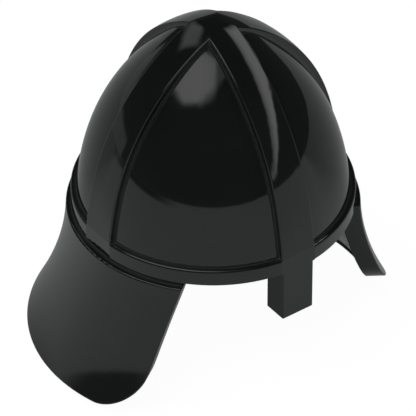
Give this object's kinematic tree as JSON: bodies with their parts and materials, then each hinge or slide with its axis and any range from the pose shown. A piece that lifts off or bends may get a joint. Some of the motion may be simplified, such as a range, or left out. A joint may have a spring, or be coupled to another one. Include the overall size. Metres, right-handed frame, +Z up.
{
  "type": "protective helmet",
  "caption": "Hard protective helmet with a tall banded dome, recessed arch panels, nose bar, flared neck guard, sizing headband, crown straps and swinging chin strap.",
  "frame": {"origin": "centre of the brow rim's bottom plane, on the dome's axis", "axes": "+Z up along the dome's axis, -Y to the front (nose bar), -X to the wearer's right"},
  "size_m": [0.3694, 0.3263, 0.3669],
  "materials": {
    "gloss_black_moulding": "glossy near-black moulded shell",
    "guard_black_moulding": "slightly softer gloss near-black moulding",
    "shell_composite": "moulded composite inner shell",
    "liner_foam": "moulded impact foam",
    "guard_foam": "fabric-faced foam",
    "black_nylon": "black moulded nylon",
    "cover_nylon": "textured black nylon",
    "acetal": "smooth black acetal",
    "button_grey": "grey release button",
    "steel": "stainless steel",
    "webbing": "woven polyester webbing",
    "pad_fabric": "knitted fabric over foam",
    "sweatband_leather": "perforated tan leather"
  },
  "bodies": {
    "helmet": {"adjuster_cover": "cover_nylon", "adjuster_housing": "black_nylon", "anchor_screws": "steel", "base_ring": "black_nylon", "base_ring_screws": "steel", "chin_anchor_left": "steel", "chin_anchor_right": "steel", "chin_pivots": "steel", "crown_frame": "gloss_black_moulding", "crown_pad": "pad_fabric", "crown_strap_cross": "webbing", "crown_strap_long": "webbing", "friction_spring": "steel", "hanger_rivets": "steel", "headband": "black_nylon", "headband_hangers": "black_nylon", "housing_screws": "steel", "impact_liner": "liner_foam", "inner_shell": "shell_composite", "nape_pad": "pad_fabric", "neck_guard_liner": "guard_foam", "neck_guard_screws": "steel", "neck_guard_shell": "guard_black_moulding", "nose_pad": "pad_fabric", "panel_front_left": "gloss_black_moulding", "panel_front_right": "gloss_black_moulding", "panel_rear_left": "gloss_black_moulding", "panel_rear_right": "gloss_black_moulding", "shell_screws": "steel", "suspension_clips": "black_nylon", "suspension_pins": "acetal", "sweatband": "sweatband_leather"},
    "chin_strap": {"strap_loops": "steel", "chin_strap_left": "webbing", "chin_strap_right": "webbing", "buckle_body": "acetal", "button_spring": "steel", "chin_pad": "pad_fabric"},
    "buckle_tongue_body": {"buckle_tongue": "acetal"},
    "release_button_body": {"release_button": "button_grey"},
    "strap_slider_body": {"strap_slider": "acetal"},
    "size_knob_body": {"size_knob": "cover_nylon", "size_pinion": "acetal", "size_spindle": "steel"},
    "tail_left_body": {"headband_tail_left": "black_nylon"},
    "tail_right_body": {"headband_tail_right": "black_nylon"}
  },
  "joints": [
    {"name": "chin_strap_swing", "type": "hinge", "parent": "helmet", "child": "chin_strap", "pos_m": [0, -0.005, -0.01], "axis": [-1, 0, 0], "range_deg": [0, 85]},
    {"name": "tongue_slide", "type": "slide", "parent": "chin_strap", "child": "buckle_tongue_body", "axis": [0, -0.8192, 0.5736], "range_m": [0, 0.014]},
    {"name": "button_press", "type": "slide", "parent": "chin_strap", "child": "release_button_body", "axis": [1, 0, 0], "range_m": [0, 0.0015], "stiffness_N_per_m": 400},
    {"name": "slider_shift", "type": "slide", "parent": "chin_strap", "child": "strap_slider_body", "axis": [0, 0.8192, -0.5736], "range_m": [0, 0.025]},
    {"name": "size_knob_turn", "type": "hinge", "parent": "helmet", "child": "size_knob_body", "pos_m": [0, 0.105, -0.024], "axis": [0, -1, 0], "range_deg": [0, 138]},
    {"name": "tail_left_slide", "type": "hinge", "parent": "helmet", "child": "tail_left_body", "pos_m": [0, 0.02, -0.024], "axis": [0, 0, 1], "range_deg": [0, 9.8]},
    {"name": "tail_right_slide", "type": "hinge", "parent": "helmet", "child": "tail_right_body", "pos_m": [0, 0.02, -0.024], "axis": [0, 0, -1], "range_deg": [0, 9.8]}
  ],
  "couplings": [
    {"joint": "tail_left_slide", "follows": "size_knob_turn", "ratio": 0.070671},
    {"joint": "tail_right_slide", "follows": "size_knob_turn", "ratio": 0.070671}
  ]
}
